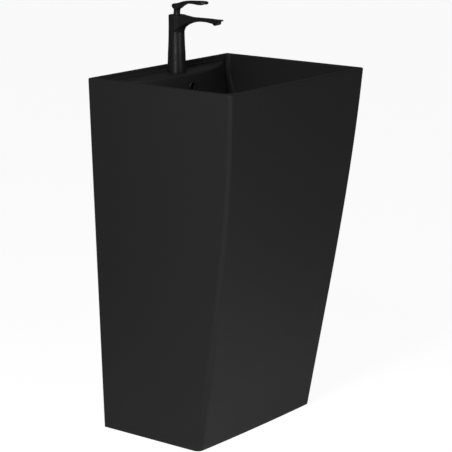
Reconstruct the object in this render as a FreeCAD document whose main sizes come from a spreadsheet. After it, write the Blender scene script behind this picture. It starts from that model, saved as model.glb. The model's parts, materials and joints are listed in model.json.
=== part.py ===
"""Freestanding washbasin: one-piece ceramic basin on its own foot, single-lever mixer, push plug, trap.

Frame: millimetres, +Z up, front towards -Y, wall behind at +Y, origin at the middle of the footprint box on
the floor. Driving sizes are in the sheet. Formulas name the sheet's cells.
"""
import FreeCAD
import Part
import Sketcher

import math
import os
import re

SIZES = {
    # ceramic, outside
    "rim_height": 850, "top_width": 520, "top_depth": 410, "base_width": 445, "base_depth": 290,
    "side_waist": 6, "front_belly": 13.5, "front_swing": 2.7, "front_crown": 3,
    "top_corner": 7, "base_corner": 16, "wall_thick": 12, "cavity_corner": 10, "cavity_top": 684,
    # rim, deck and bowl
    "rim_thick": 12, "deck_drop": 12, "deck_thick": 14, "rim_front_corner": 28, "rim_back_corner": 10,
    "back_skim": 0.5, "shelf_reach": 95, "shelf_radius": 368, "bowl_fall": 132, "drain_setback": 215,
    "drain_hole": 23, "chamber_reach": 75, "chamber_half": 185, "chamber_floor": 600,
    # overflow and openings in the ceramic
    "overflow_fall": 30.5, "overflow_hole": 9.2, "duct_half": 11, "duct_near": 80, "duct_far": 89,
    "access_half": 115, "access_low": 60, "access_high": 610,
    "bolt_spread": 280, "bolt_hole": 6, "bolt_height": 755,
    # mixer
    "tap_setback": 50, "tap_hole": 17.5, "body_base": 22.3, "body_top": 18.5, "body_rise": 135.3,
    "stack_lower": 4.7,
    "taper_rise": 84, "shank_out": 16, "shank_drop": 8, "thread_out": 15.4, "thread_in": 15.6,
    "cartridge_out": 13.2, "chamber_out": 13.4, "seat_rise": 99.6, "shoulder_rise": 118, "pivot_rise": 128,
    "dome_out": 13.2, "dome_in": 11.9, "dome_angle": 77, "cap_opening": 12.2,
    "inlet_radius": 5, "inlet_gap": 8, "inlet_depth": 12, "stud_back": 9, "stud_radius": 4,
    "aerator_reach": 121.7, "aerator_rise": 120.9, "aerator_tilt": 15, "grub_rise": 149,
    # waste
    "flange_out": 31.5, "tail_out": 20.95, "tail_in": 17.5, "tail_drop": 86, "plug_gap": 8,
    # trap
    "pipe_out": 16, "pipe_in": 14.8, "spigot_out": 15.6, "trap_out": 31, "trap_in": 28.5,
    "outlet_drop": 148, "neck_out": 19.8, "neck_bore": 16.3, "nut_bore": 19.9, "nut_out": 23.5,
}

HALF_DEPTH = "(top_depth + front_crown) / 2"
DECK = "rim_height - deck_drop"
PLACES = {
    "back": ("0", HALF_DEPTH, "0"),
    "tap": ("0", HALF_DEPTH + " - tap_setback", DECK),
    "stack": ("0", HALF_DEPTH + " - tap_setback", DECK + " - stack_lower"),
    "waste": ("0", HALF_DEPTH + " - drain_setback", DECK + " - bowl_fall"),
    "outlet": ("0", HALF_DEPTH + " - drain_setback", DECK + " - bowl_fall - outlet_drop"),
    "aerator": ("0", HALF_DEPTH + " - tap_setback - aerator_reach", DECK + " + aerator_rise"),
}
UPRIGHT = FreeCAD.Rotation()
TOWARDS_WALL = FreeCAD.Rotation(FreeCAD.Vector(1, 0, 0), -90)
ALONG_X = FreeCAD.Rotation(FreeCAD.Vector(0, 1, 0), 90)
AERATOR_TILT = FreeCAD.Rotation(FreeCAD.Vector(1, 0, 0), -SIZES["aerator_tilt"])

doc = FreeCAD.newDocument("washbasin")
sheet = doc.addObject("Spreadsheet::Sheet", "Sizes")
for row, (name, size) in enumerate(SIZES.items(), start=1):
    sheet.set(f"A{row}", name.replace("_", " "))
    sheet.set(f"B{row}", str(size))
    sheet.setAlias(f"B{row}", name)
doc.recompute()
pieces = []


# ---------------------------------------------------------------- helpers

def formula(text):
    """The text with each size's name pointed at its cell in the sheet."""
    return re.sub(r"[a-z]\w*", lambda word: "Sizes." + word[0] if word[0] in SIZES else word[0], str(text))


def value(text):
    return float(sheet.evalExpression(formula(text)))


def bind(item, path, text):
    item.setExpression(path, formula(text))


def settle(item, place, rotation=UPRIGHT):
    """Turns an object and binds its place to the sheet."""
    item.Placement = FreeCAD.Placement(FreeCAD.Vector(*map(value, place)), rotation)
    for axis, text in zip("xyz", place):
        bind(item, f"Placement.Base.{axis}", text)


def new_body(label, place, rotation=UPRIGHT):
    body = doc.addObject("PartDesign::Body", "Body")
    body.Label = label
    settle(body, PLACES[place], rotation)
    pieces.append(body)
    return body


def new_sketch(body, role, offset="0"):
    """A sketch on one of the body's own origin planes, moved along the plane's normal."""
    plane = next(item for item in body.Origin.OriginFeatures if item.Role == role)
    sketch = body.newObject("Sketcher::SketchObject", body.Label + "_sketch")
    sketch.AttachmentSupport = [(plane, "")]
    sketch.MapMode = "FlatFace"
    bind(sketch, "AttachmentOffset.Base.z", offset)
    return sketch


def arc_between(start, end, radius):
    """An arc from start to end, turning left for a positive radius, and its (start, end) point numbers."""
    chord = end - start
    left = FreeCAD.Vector(-chord.y, chord.x, 0) / chord.Length
    reach = math.sqrt(max(radius ** 2 - chord.Length ** 2 / 4, 0))
    centre = (start + end) / 2 + left * math.copysign(reach, radius)
    circle = Part.Circle(centre, FreeCAD.Vector(0, 0, 1), abs(radius))
    first, last = (start, end) if radius > 0 else (end, start)
    angles = [math.atan2(spot.y - centre.y, spot.x - centre.x) for spot in (first, last)]
    return Part.ArcOfCircle(circle, *angles), (1, 2) if radius > 0 else (2, 1)


def hold(sketch, edge, point, x, y):
    """Binds one point of an edge to the sketch's origin."""
    for kind, text in (("DistanceX", x), ("DistanceY", y)):
        index = sketch.addConstraint(Sketcher.Constraint(kind, -1, 1, edge, point, value(text)))
        bind(sketch, f"Constraints[{index}]", text)


def draw(sketch, corners):
    """A closed outline. A corner is (x, y), reached by a line, or (x, y, radius), reached by an arc."""
    spots = [FreeCAD.Vector(value(corner[0]), value(corner[1]), 0) for corner in corners]
    edges = []
    for index, corner in enumerate(corners):
        start, end = spots[index - 1], spots[index]
        if len(corner) == 2:
            shape, order = Part.LineSegment(start, end), (1, 2)
        else:
            shape, order = arc_between(start, end, value(corner[2]))
        edge = sketch.addGeometry(shape)
        if len(corner) == 3:
            size = sketch.addConstraint(Sketcher.Constraint("Radius", edge, abs(value(corner[2]))))
            bind(sketch, f"Constraints[{size}]", f"abs({corner[2]})")
        hold(sketch, edge, order[1], corner[0], corner[1])
        edges.append((edge, order))
    for (before, ends), (after, starts) in zip(edges[-1:] + edges[:-1], edges):
        sketch.addConstraint(Sketcher.Constraint("Coincident", before, ends[1], after, starts[0]))
    return sketch


def draw_ellipse(sketch, half_width, half_height, rise):
    """An upright or flat ellipse about (0, rise)."""
    wide, tall, middle = value(half_width), value(half_height), value(rise)
    centre = FreeCAD.Vector(0, middle, 0)
    side, crest = FreeCAD.Vector(wide, middle, 0), FreeCAD.Vector(0, middle + tall, 0)
    ellipse = Part.Ellipse(side, crest, centre) if wide >= tall else Part.Ellipse(crest, side, centre)
    edge = sketch.addGeometry(ellipse)
    hold(sketch, edge, 3, "0", rise)
    return sketch


def feature(body, kind, profile=None, **settings):
    """A PartDesign feature that has to change the body's volume."""
    before = body.Shape.Volume if body.Tip else 0
    item = body.newObject("PartDesign::" + kind, f"{body.Label}_{kind}")
    if profile is not None:
        item.Profile = profile
    for name, setting in settings.items():
        setattr(item, name, setting)
    return item, before


def finish(body, change):
    """Recomputes and refuses a feature that did nothing or failed."""
    item, before = change
    doc.recompute()
    if "Invalid" in item.State or "Error" in item.State or item.Shape.isNull():
        raise RuntimeError(f"{body.Label}: {item.Name} failed")
    if abs(body.Shape.Volume - before) < 1e-6:
        raise RuntimeError(f"{body.Label}: {item.Name} changed nothing")


def turn(body, corners):
    """Adds a solid of revolution about the body's Z axis; corners are (radius, height)."""
    sketch = draw(new_sketch(body, "XZ_Plane"), corners)
    finish(body, feature(body, "Revolution", sketch, ReferenceAxis=(sketch, ["V_Axis"]), Angle=360))


def turned(label, place, corners, rotation=UPRIGHT):
    body = new_body(label, place, rotation)
    turn(body, corners)
    return body


def ring(label, place, inner, outer, low, high, rotation=UPRIGHT):
    corners = [(inner, low), (outer, low), (outer, high), (inner, high)]
    return turned(label, place, corners, rotation)


def prism(body, kind, corners, low, high):
    """Pads or pockets an outline between two heights."""
    sketch = draw(new_sketch(body, "XY_Plane", low if kind == "Pad" else high), corners)
    item, before = feature(body, kind, sketch)
    bind(item, "Length", f"({high}) - ({low})")
    finish(body, (item, before))


def rod(body, kind, radius, length, place, rotation=UPRIGHT):
    """Adds or cuts a round rod that starts at place and runs along the rotated Z axis."""
    item, before = feature(body, kind + "Cylinder")
    bind(item, "Radius", radius)
    bind(item, "Height", length)
    settle(item, place, rotation)
    finish(body, (item, before))


def block(body, kind, low, high):
    """Adds or cuts a box between two corners."""
    item, before = feature(body, kind + "Box")
    for name, start, end in zip(("Length", "Width", "Height"), low, high):
        bind(item, name, f"({end}) - ({start})")
    settle(item, low)
    finish(body, (item, before))


def loft(body, kind, profiles, ruled=False):
    finish(body, feature(body, kind + "Loft", profiles[0], Sections=profiles[1:], Ruled=ruled))


def hexagon(flats):
    """Corners of a hexagon with a given width across flats, with two corners on the X axis."""
    corner, half = f"({flats}) / sqrt(3)", f"({flats}) / 2"
    quarter = f"({flats}) / sqrt(3) / 2"
    return [(corner, "0"), (quarter, half), ("-" + quarter, half),
            ("-" + corner, "0"), ("-" + quarter, "-" + half), (quarter, "-" + half)]


def hex_nut(label, place, flats, bore, low, high):
    body = new_body(label, place)
    prism(body, "Pad", hexagon(flats), low, high)
    rod(body, "Subtractive", bore, f"({high}) - ({low})", ("0", "0", low))
    return body


# ---------------------------------------------------------------- ceramic

def ceramic_outline(sketch, height, inset, corner, back):
    """The plan of basin and foot at a height: straight back and sides, round front corners, bowed front."""
    part = f"(({height}) / rim_height)"
    bulge = f"4 * {part} * (1 - {part})"
    back_half = f"((base_width + (top_width - base_width) * {part}) / 2 - {inset})"
    front_half = f"({back_half} - side_waist * {bulge})"
    depth = (f"(base_depth + (top_depth - base_depth) * {part} + front_belly * {bulge}"
             f" + front_swing * 2 * {bulge} * (2 * {part} - 1) - {inset})")
    chord = f"({front_half} - {corner})"
    bow = f"(({chord} ^ 2 + front_crown ^ 2) / (2 * front_crown))"
    return draw(sketch, [
        ("-" + back_half, back),
        ("-" + front_half, f"-({depth} - {corner})"),
        ("-" + chord, "-" + depth, corner),
        (chord, "-" + depth, bow),
        (front_half, f"-({depth} - {corner})", corner),
        (back_half, back),
    ])


def bowl_outline(sketch, drop, half, front, reach, front_corner, back_corner):
    """The bowl's plan at a drop below the deck: round front corners, and a back wall that bows forwards."""
    centre = f"({reach} - shelf_radius)"
    fillet_side = f"({half} - {back_corner})"
    fillet_depth = f"({centre} + sqrt((shelf_radius + {back_corner}) ^ 2 - {fillet_side} ^ 2))"
    share = f"(shelf_radius / (shelf_radius + {back_corner}))"
    touch_side = f"({fillet_side} * {share})"
    touch_depth = f"({centre} + ({fillet_depth} - {centre}) * {share})"
    inner = f"({half} - {front_corner})"
    return draw(sketch, [
        (f"-{half}", f"-({front} - {front_corner})"),
        (f"-{inner}", f"-{front}", front_corner),
        (inner, f"-{front}"),
        (half, f"-({front} - {front_corner})", front_corner),
        (half, f"-{fillet_depth}"),
        (touch_side, f"-{touch_depth}", back_corner),
        (f"-{touch_side}", f"-{touch_depth}", "-shelf_radius"),
        (f"-{half}", f"-{fillet_depth}", back_corner),
    ])


def basin_body():
    body = new_body("basin_body", "back")
    # outer skin: six plans from the floor to the rim
    heights = [f"rim_height * {step} / 5" for step in range(6)]
    corner = "(base_corner + (top_corner - base_corner) * ({}) / rim_height)"
    loft(body, "Additive", [
        ceramic_outline(new_sketch(body, "XY_Plane", height), height, "0", corner.format(height), "back_skim")
        for height in heights])
    # skim the back to one flat plane
    block(body, "Subtractive", ("-top_width", "0", "-1"), ("top_width", "2 * back_skim", "rim_height + 1"))
    # hollow foot, open below
    inner_heights = ["-2"] + [f"cavity_top * {step} / 4" for step in range(1, 5)]
    walls = ("wall_thick", "cavity_corner", "-wall_thick")
    loft(body, "Subtractive", [
        ceramic_outline(new_sketch(body, "XY_Plane", height), height, *walls) for height in inner_heights])
    # recess inside the rim, down to the tap deck
    half = "(top_width / 2 - rim_thick)"
    front = "(top_depth - rim_thick)"
    prism(body, "Pocket", [
        (f"-({half} - rim_back_corner)", "-rim_thick"),
        (f"-{half}", "-(rim_thick + rim_back_corner)", "rim_back_corner"),
        (f"-{half}", f"-({front} - rim_front_corner)"),
        (f"-({half} - rim_front_corner)", f"-{front}", "rim_front_corner"),
        (f"({half} - rim_front_corner)", f"-{front}"),
        (half, f"-({front} - rim_front_corner)", "rim_front_corner"),
        (half, "-(rim_thick + rim_back_corner)"),
        (f"({half} - rim_back_corner)", "-rim_thick", "rim_back_corner"),
    ], DECK, "rim_height")
    # bowl: drop below the deck, half width, front depth, shelf reach, front and back corner radii
    levels = [("0", half, front, "shelf_reach", "rim_front_corner", "10"),
              ("36", f"({half} - 4)", f"({front} - 4)", "(shelf_reach + 2)", "34", "13"),
              ("80", f"({half} - 15)", f"({front} - 16)", "(shelf_reach + 9)", "46", "22"),
              ("112", f"({half} - 38)", f"({front} - 40)", "(shelf_reach + 27)", "62", "40"),
              ("124", f"({half} - 66)", f"({front} - 66)", "(shelf_reach + 50)", "70", "52")]
    bowl = [bowl_outline(new_sketch(body, "XY_Plane", f"{DECK} - {drop}"), drop, *plan)
            for drop, *plan in levels]
    loft(body, "Subtractive", bowl)
    # floor of the bowl: a shallow cone that falls to the waste's flat seat
    sketch = draw(new_sketch(body, "XZ_Plane", "drain_setback"), [
        ("0", f"{DECK} - bowl_fall"), ("34", f"{DECK} - bowl_fall"), ("118", f"{DECK} - 124.5"),
        ("118", f"{DECK} - 110"), ("0", f"{DECK} - 110")])
    finish(body, feature(body, "Groove", sketch, ReferenceAxis=(sketch, ["V_Axis"]), Angle=360))
    # chamber below the deck, behind the bowl, for the tap's fixing
    centre = "(chamber_reach - shelf_radius + 20)"
    touch = f"({centre} + sqrt((shelf_radius - 20) ^ 2 - chamber_half ^ 2))"
    prism(body, "Pocket", [
        ("chamber_half", "-wall_thick"), ("-chamber_half", "-wall_thick"), ("-chamber_half", f"-{touch}"),
        ("chamber_half", f"-{touch}", "shelf_radius - 20")],
        "chamber_floor", f"{DECK} - deck_thick")
    # holes for the tap, the waste and the overflow
    rod(body, "Subtractive", "tap_hole", "deck_thick + 2", ("0", "-tap_setback", f"{DECK} - deck_thick - 1"))
    seat = f"{DECK} - bowl_fall"
    rod(body, "Subtractive", "drain_hole", "40", ("0", "-drain_setback", f"{seat} - 35"))
    mouth = f"{DECK} - overflow_fall"
    rod(body, "Subtractive", "overflow_hole", "shelf_reach + 15 - duct_near",
        ("0", "-(shelf_reach + 15)", mouth), TOWARDS_WALL)
    block(body, "Subtractive", ("-duct_half", "-duct_far", f"{seat} - 14"),
          ("duct_half", "-duct_near", f"{mouth} + 9"))
    block(body, "Subtractive", ("-duct_half", "-(drain_setback - 15)", f"{seat} - 14"),
          ("duct_half", "-duct_near", f"{seat} - 7"))
    # opening in the back for pipes and valves, and the two wall bolt holes
    block(body, "Subtractive", ("-access_half", "-(wall_thick + 5)", "access_low"),
          ("access_half", "5", "access_high"))
    for side in ("-", ""):
        rod(body, "Subtractive", "bolt_hole", "wall_thick + 10",
            (f"{side}bolt_spread / 2", "-(wall_thick + 5)", "bolt_height"), TOWARDS_WALL)
    return body


def overflow_ring():
    """Trim ring: a flange on the bowl's back wall and a sleeve in the overflow hole."""
    body = new_body("overflow_ring", "back", TOWARDS_WALL)
    bind(body, "Placement.Base.y", HALF_DEPTH + " - shelf_reach - 2.5")
    bind(body, "Placement.Base.z", DECK + " - overflow_fall")
    turn(body, [
        ("7.4", "-2.5"), ("10.4", "-2.5"), ("11.5", "-1.2"), ("11.5", "0"), ("9.1", "0"), ("9.1", "7"),
        ("7.4", "7")])
    return body


# ---------------------------------------------------------------- mixer, fixed pieces

def mixer_body():
    """Brass body: tapered column, chamber for the cartridge, spout with its waterway, two threaded inlets."""
    body = new_body("mixer_body", "tap")
    seat, shoulder = "(seat_rise - stack_lower)", "(shoulder_rise - stack_lower)"
    turn(body, [
        ("0", "-shank_drop"), ("shank_out", "-shank_drop"), ("shank_out", "0"), ("17.9", "0"),
        ("17.9", "1.2"), ("21", "1.2"), ("21", "0"), ("body_base", "0"), ("body_top + 0.4", "taper_rise"),
        ("body_top", "taper_rise + 24"), ("body_top", "body_rise - 1.2"),
        ("body_top - 1.2", "body_rise", "1.2"), ("thread_in", "body_rise"), ("thread_in", shoulder),
        ("chamber_out", shoulder), ("chamber_out", seat), ("0", seat)])
    # spout: (distance in front of the axis, half width, half height, height of the middle)
    spout = [("14", "12", "12.5", "121"), ("24", "15", "14", "119.5"), ("34", "13.5", "9.3", "122.7"),
             ("44", "12.2", "5.4", "125.6"), ("58", "11", "3.2", "127.9"), ("78", "10.4", "2.7", "128.8"),
             ("98", "10.4", "3", "128.7"), ("114", "10.8", "4", "128.6"), ("126", "8.6", "2.8", "129.8"),
             ("133", "3.5", "1.2", "130.8")]
    loft(body, "Additive", [
        draw_ellipse(new_sketch(body, "XZ_Plane", reach), wide, tall, rise)
        for reach, wide, tall, rise in spout])
    # socket for the aerator, square to the tilted stream
    foot = ("0", "-aerator_reach", "aerator_rise")
    rod(body, "Additive", "9.4", "7.5", foot, AERATOR_TILT)
    # clear the threaded mouth of the spout's root
    rod(body, "Subtractive", "thread_in", f"body_rise - {shoulder} + 1", ("0", "0", shoulder))
    rod(body, "Subtractive", "7", "9", foot, AERATOR_TILT)
    # waterway: slanted bore out of the chamber, then a flat channel to the aerator
    slant = FreeCAD.Rotation(FreeCAD.Vector(0, 0, 1), FreeCAD.Vector(0, -28, 19))
    rod(body, "Subtractive", "2.8", "34", ("0", "-12", "108"), slant)
    block(body, "Subtractive", ("-5.5", "-117", "127.6"), ("5.5", "-38", "129.6"))
    # inlets below, feed bores above them, hole for the fixing stud
    for side in ("-", ""):
        place = (f"{side}inlet_gap", "-4", "-shank_drop")
        rod(body, "Subtractive", "inlet_radius", "inlet_depth", place)
        rod(body, "Subtractive", "3", f"{seat} + shank_drop + 1", place)
    rod(body, "Subtractive", "stud_radius + 0.02", "16", ("0", "stud_back", "-shank_drop"))
    return body


def cartridge():
    ring("cartridge_nut", "stack", "12.1", "thread_out", "shoulder_rise", "shoulder_rise + 6.5")
    turned("cartridge_housing", "stack", [
        ("11", "104"), ("cartridge_out", "104"), ("cartridge_out", "shoulder_rise"),
        ("11.9", "shoulder_rise"), ("11.9", "124"), ("9.4", "124"), ("9.4", "131.5"), ("8.2", "131.5"),
        ("8.2", "123.2"), ("11", "123.2")])
    base = ring("cartridge_base", "stack", "0.8", "cartridge_out", "100.6", "104")
    fixed = ring("fixed_disc", "stack", "0.8", "10.7", "104", "108")
    ports = [("-5", "-4"), ("5", "-4"), ("0", "6")]
    for body, low, high in ((base, "100.6", "104"), (fixed, "104", "108")):
        for x, y in ports:
            rod(body, "Subtractive", "1.9", f"{high} - {low}", (x, y, low))
    seals = []
    for x, y in ports:
        seal = doc.addObject("Part::Torus", "seal")
        bind(seal, "Radius1", "2.7")
        bind(seal, "Radius2", "0.5")
        settle(seal, (x, PLACES["stack"][1] + " + " + y, PLACES["stack"][2] + " + seat_rise + 0.5"))
        seals.append(seal)
    group = doc.addObject("Part::Compound", "cartridge_seals")
    group.Label = "cartridge_seals"
    group.Links = seals
    pieces.append(group)
    moving = ring("moving_disc", "stack", "0.8", "6.2", "108.05", "112")
    block(moving, "Subtractive", ("-3.5", "-2", "108"), ("3.5", "2", "110"))
    driver = turned("disc_driver", "stack", [("0", "112"), ("6.2", "112"), ("6.2", "118.8"), ("0", "118.8")])
    block(driver, "Subtractive", ("-3.4", "-3.4", "115.5"), ("3.4", "3.4", "119"))
    carrier = turned("swivel_carrier", "stack", [
        ("0", "119.6"), ("10.7", "119.6"), ("10.7", "122.9"), ("8", "122.9"), ("8", "131.2"), ("0", "131.2")])
    block(carrier, "Subtractive", ("-3.3", "-6", "119"), ("3.3", "6", "132"))
    rod(carrier, "Subtractive", "1.5", "18", ("-9", "0", "pivot_rise"), ALONG_X)
    outline = [("0", "-7.7"), ("1.5", "-7.7"), ("1.5", "7.7"), ("0", "7.7")]
    pin = turned("pivot_pin", "stack", outline, ALONG_X)
    bind(pin, "Placement.Base.z", PLACES["stack"][2] + " + pivot_rise")


def mixer_trim():
    turned("trim_cap", "tap", [
        ("13.8", "121.8"), ("thread_out", "121.8"), ("thread_out", "body_rise - 0.5"),
        ("thread_out - 0.5", "body_rise"), ("cap_opening + 0.6", "body_rise"),
        ("cap_opening", "body_rise - 0.6"), ("cap_opening", "body_rise - 3.8"), ("13.8", "body_rise - 3.8")])
    ring("base_gasket", "tap", "18.1", "20.8", "0", "1.1")
    ring("aerator_seal", "aerator", "5.2", "6.8", "6.5", "8.8", AERATOR_TILT)
    turned("aerator_shell", "aerator", [
        ("5.1", "-1.8"), ("7.7", "-1.8"), ("8.2", "-1.3"), ("8.2", "-0.1"), ("6.9", "-0.1"), ("6.9", "6.4"),
        ("5.9", "6.4"), ("5.9", "-0.8"), ("5.1", "-0.8")], AERATOR_TILT)
    outline = [("0", "-0.7"), ("5.8", "-0.7"), ("5.8", "5.5"), ("0", "5.5")]
    insert = turned("aerator_insert", "aerator", outline, AERATOR_TILT)
    for step in range(6):
        angle = f"{step * 60}"
        rod(insert, "Subtractive", "1.2", "7", (f"3.7 * cos({angle})", f"3.7 * sin({angle})", "-1"))
    rod(insert, "Subtractive", "1.2", "7", ("0", "0", "-1"))


def tap_fixing():
    stud = new_body("mounting_stud", "tap")
    rod(stud, "Additive", "stud_radius", "76", ("0", "stud_back", "-70"))
    under = "-deck_thick"
    for label, high, thick in (("horseshoe_gasket", under, "3"), ("horseshoe_washer", under + " - 3", "2.5")):
        low = f"{high} - {thick}"
        body = turned(label, "tap", [("0", low), ("24", low), ("24", high), ("0", high)])
        block(body, "Subtractive", ("-15.5", "-26", low), ("15.5", "2.5", high))
        rod(body, "Subtractive", "stud_radius + 0.3", thick, ("0", "stud_back", low))
    nut = new_body("mounting_nut", "tap")
    bind(nut, "Placement.Base.y", PLACES["tap"][1] + " + stud_back")
    high = under + " - 5.5"
    prism(nut, "Pad", hexagon("13"), high + " - 11", high)
    rod(nut, "Subtractive", "stud_radius + 0.05", "11", ("0", "0", high + " - 11"))


# ---------------------------------------------------------------- mixer, moving pieces

def dome_point(radius, angle):
    """Radius and height of a point on a sphere about the lever's pivot."""
    return f"{radius} * sin({angle})", f"pivot_rise + {radius} * cos({angle})"


def lever():
    crown = "pivot_rise + sqrt({0} ^ 2 - 4.1 ^ 2)"
    turned("dome_cover", "stack", [
        dome_point("dome_out", "dome_angle"),
        ("4.1", crown.format("dome_out"), "dome_out"), ("4.1", crown.format("dome_in")),
        (*dome_point("dome_in", "dome_angle"), "-dome_in")])
    handle = turned("lever_handle", "stack", [
        ("4.1", crown.format("(dome_out + 0.1)")),
        ("6.5", "pivot_rise + sqrt((dome_out + 0.1) ^ 2 - 6.5 ^ 2)", "-(dome_out + 0.1)"), ("6.1", "150.7"),
        ("6.6", "156.2"), ("8", "160.7"), ("8.6", "162.7"), ("0", "165.7"), ("0", "156"), ("4.1", "156")])
    # paddle: (distance in front of the axis, half width, half height, height of the middle)
    paddle = [("-6", "6", "1.4", "162.9"), ("3", "7.6", "2.4", "164.3"), ("12", "7.8", "3", "165.9"),
              ("20", "7.7", "2.9", "168"), ("30", "7.6", "2.2", "170.4"), ("45", "8.2", "1.9", "172.3"),
              ("60", "10.4", "2.1", "172.8"), ("73", "11.6", "2", "173.1"), ("83", "9.8", "1.5", "173.5"),
              ("90", "4", "0.8", "173.9")]
    loft(handle, "Additive", [
        draw_ellipse(new_sketch(handle, "XZ_Plane", reach), wide, tall, rise)
        for reach, wide, tall, rise in paddle])
    rod(handle, "Subtractive", "1.6", "10", ("0", "1", "grub_rise"), TOWARDS_WALL)
    stem = new_body("lever_stem", "stack")
    block(stem, "Additive", ("-3.2", "-2.3", "116.5"), ("3.2", "2.3", "155.5"))
    rod(stem, "Subtractive", "1.55", "10", ("-5", "0", "pivot_rise"), ALONG_X)
    screw, plug = ("grub_screw", "1.55", "2.35", "2.6"), ("screw_plug", "1.5", "5", "1")
    for label, radius, start, length in (screw, plug):
        body = new_body(label, "stack")
        rod(body, "Additive", radius, length, ("0", start, "grub_rise"), TOWARDS_WALL)


# ---------------------------------------------------------------- waste

def waste():
    drain = turned("drain_body", "waste", [
        ("tail_in", "-tail_drop"), ("tail_out", "-tail_drop"), ("tail_out", "1.2"), ("flange_out", "1.2"),
        ("flange_out", "2.4"), ("flange_out - 1", "3.2"), ("21.5", "2.6"), ("tail_in", "1.4")])
    block(drain, "Subtractive", ("-6", "-30", "-20"), ("6", "30", "-6"))
    block(drain, "Additive", ("-tail_in - 1", "-2.2", "-50"), ("tail_in + 1", "2.2", "-42"))
    rod(drain, "Additive", "6.5", "8", ("0", "0", "-50"))
    rod(drain, "Subtractive", "3", "10", ("0", "0", "-51"))
    turned("click_post", "waste", [
        ("0", "-49"), ("2.95", "-49"), ("2.95", "-42"), ("6.3", "-42"), ("6.3", "-37"), ("3.5", "-37"),
        ("3.5", "-12"), ("0", "-12")])
    ring("drain_seal", "waste", "tail_out + 0.1", "30.5", "0", "1.2")
    turned("drain_gasket", "waste", [
        ("tail_out + 0.1", "-26"), ("29", "-26"), ("30", "-22"), ("tail_out + 0.1", "-22")])
    ring("drain_washer", "waste", "tail_out + 0.1", "30", "-27.5", "-26")
    hex_nut("drain_backnut", "waste", "54", "tail_out + 0.1", "-37.5", "-27.5")
    # push plug: cap with its neck and seal, sleeve on the post, spring
    turned("plug_cap", "waste", [
        ("6.3", "4.5"), ("14.5", "4.5"), ("14.5", "5.5"), ("13.2", "5.5"), ("13.2", "8.5"), ("14.5", "8.5"),
        ("14.5", "plug_gap + 3.2"), ("31", "plug_gap + 3.2"), ("31", "plug_gap + 4.6"),
        ("20", "plug_gap + 7", "26.41"), ("0", "plug_gap + 7"), ("0", "9.1"), ("6.3", "9.1")])
    ring("plug_seal", "waste", "13.3", "17.1", "5.6", "8.4")
    turned("plug_sleeve", "waste", [
        ("3.8", "-14"), ("6.2", "-14"), ("6.2", "9"), ("0", "9"), ("0", "1"), ("3.8", "1")])
    spring = new_body("plug_spring", "waste")
    profile = new_sketch(spring, "XZ_Plane")
    wire = profile.addGeometry(Part.Circle(FreeCAD.Vector(5, -36.4, 0), FreeCAD.Vector(0, 0, 1), 0.45))
    hold(profile, wire, 3, "5", "-36.4")
    bind(profile, f"Constraints[{profile.addConstraint(Sketcher.Constraint('Radius', wire, 0.45))}]", "0.45")
    finish(spring, feature(spring, "AdditiveHelix", profile, ReferenceAxis=(profile, ["V_Axis"]),
                           Mode=0, Pitch=3.6, Height=21.6))


# ---------------------------------------------------------------- bottle trap

def trap():
    turned("trap_inlet_nut", "waste", [
        ("16.4", "-94"), ("25", "-94"), ("25", "-72"), ("tail_out + 0.1", "-72"), ("tail_out + 0.1", "-91"),
        ("16.4", "-91")])
    ring("trap_inlet_washer", "waste", "16.2", "20.7", "-88.5", "-tail_drop")
    turned("trap_inlet_tube", "waste", [
        ("pipe_in", "-205"), ("pipe_out", "-205"), ("pipe_out", "-91"), ("20.5", "-91"), ("20.5", "-88.5"),
        ("pipe_in", "-88.5")])
    turned("trap_neck_nut", "waste", [
        ("16.4", "-112"), ("nut_out", "-112"), ("nut_out", "-130"), ("nut_bore", "-130"),
        ("nut_bore", "-115"), ("16.4", "-115")])
    ring("trap_neck_washer", "waste", "16.1", "19.6", "-118", "-115")
    body = turned("trap_body", "waste", [
        ("neck_bore", "-118"), ("neck_bore", "-134.5"), ("trap_in", "-134.5"), ("trap_in", "-166"),
        ("26", "-166"), ("26", "-178"), ("trap_in - 0.2", "-178"), ("trap_in - 0.2", "-168"),
        ("trap_out", "-168"), ("trap_out", "-132"), ("neck_out", "-132"), ("neck_out", "-118")])
    rod(body, "Additive", "neck_out", "26", ("0", "24", "-outlet_drop"), TOWARDS_WALL)
    rod(body, "Subtractive", "neck_bore", "40", ("0", "15", "-outlet_drop"), TOWARDS_WALL)
    turned("trap_cup", "waste", [
        ("trap_in", "-170"), ("trap_in", "-222"), ("8.5", "-242", "-20"), ("0", "-242"), ("0", "-244.5"),
        ("9", "-244.5"), ("trap_out", "-222.5", "22"), ("trap_out", "-182"), ("32.5", "-180.5"),
        ("32.5", "-170")])
    ring("trap_cup_seal", "waste", "trap_in - 0.1", "trap_out - 0.2", "-170", "-168")
    # outlet: heights along the pipe run from the waste's axis towards the wall
    turned("trap_outlet_nut", "outlet", [
        ("nut_bore", "38"), ("nut_out", "38"), ("nut_out", "56"), ("16.4", "56"), ("16.4", "53"),
        ("nut_bore", "53")], TOWARDS_WALL)
    ring("trap_outlet_washer", "outlet", "spigot_out + 0.05", "19.6", "50", "53", TOWARDS_WALL)
    turned("trap_outlet_pipe", "outlet", [
        ("pipe_in", "36"), ("spigot_out", "36"), ("spigot_out", "57"), ("pipe_out", "57"),
        ("pipe_out", "drain_setback"), ("pipe_in", "drain_setback")], TOWARDS_WALL)


def main():
    basin_body()
    overflow_ring()
    mixer_body()
    mixer_trim()
    tap_fixing()
    cartridge()
    lever()
    waste()
    trap()
    doc.recompute()
    for item in doc.Objects:
        if "Invalid" in item.State or "Error" in item.State:
            raise RuntimeError(f"{item.Label} is {item.State}")
    os.makedirs("parts", exist_ok=True)
    for piece in pieces:
        if piece.Shape.isNull() or not piece.Shape.isValid() or not piece.Shape.Solids:
            raise RuntimeError(f"{piece.Label} has no valid shape")
        piece.Shape.exportStep(f"parts/{piece.Label}.step")
    print(len(pieces), "pieces")


main()
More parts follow.
